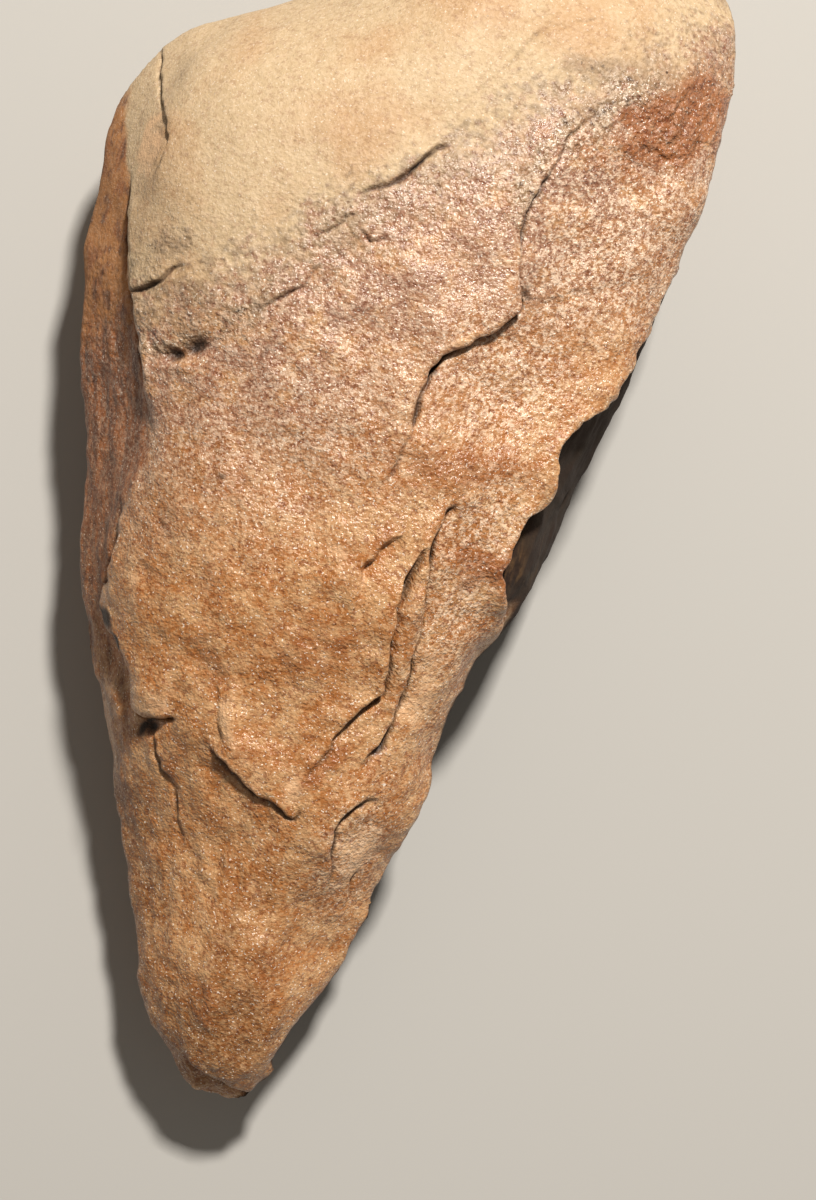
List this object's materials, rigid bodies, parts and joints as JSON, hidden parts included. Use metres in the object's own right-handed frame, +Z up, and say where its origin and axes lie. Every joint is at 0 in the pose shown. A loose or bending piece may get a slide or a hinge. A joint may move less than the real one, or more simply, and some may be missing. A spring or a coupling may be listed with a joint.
{
  "type": "stone hand axe",
  "caption": "Pointed bifacial stone hand axe with flaked faces, sharp side edges and a thick rounded butt, lying on its back face.",
  "frame": {"origin": "on the ground under the middle of the stone's bounding box, where it lies at rest", "axes": "+Z up out of the front face, +Y along the length from the tip to the butt, +X across it"},
  "size_m": [0.0782, 0.1572, 0.042],
  "materials": {
    "stone": "coarse-grained quartzite with a brown patina, cream towards the butt, satin on the grain faces"
  },
  "bodies": {
    "root": {"hand_axe": "stone"}
  },
  "joints": []
}
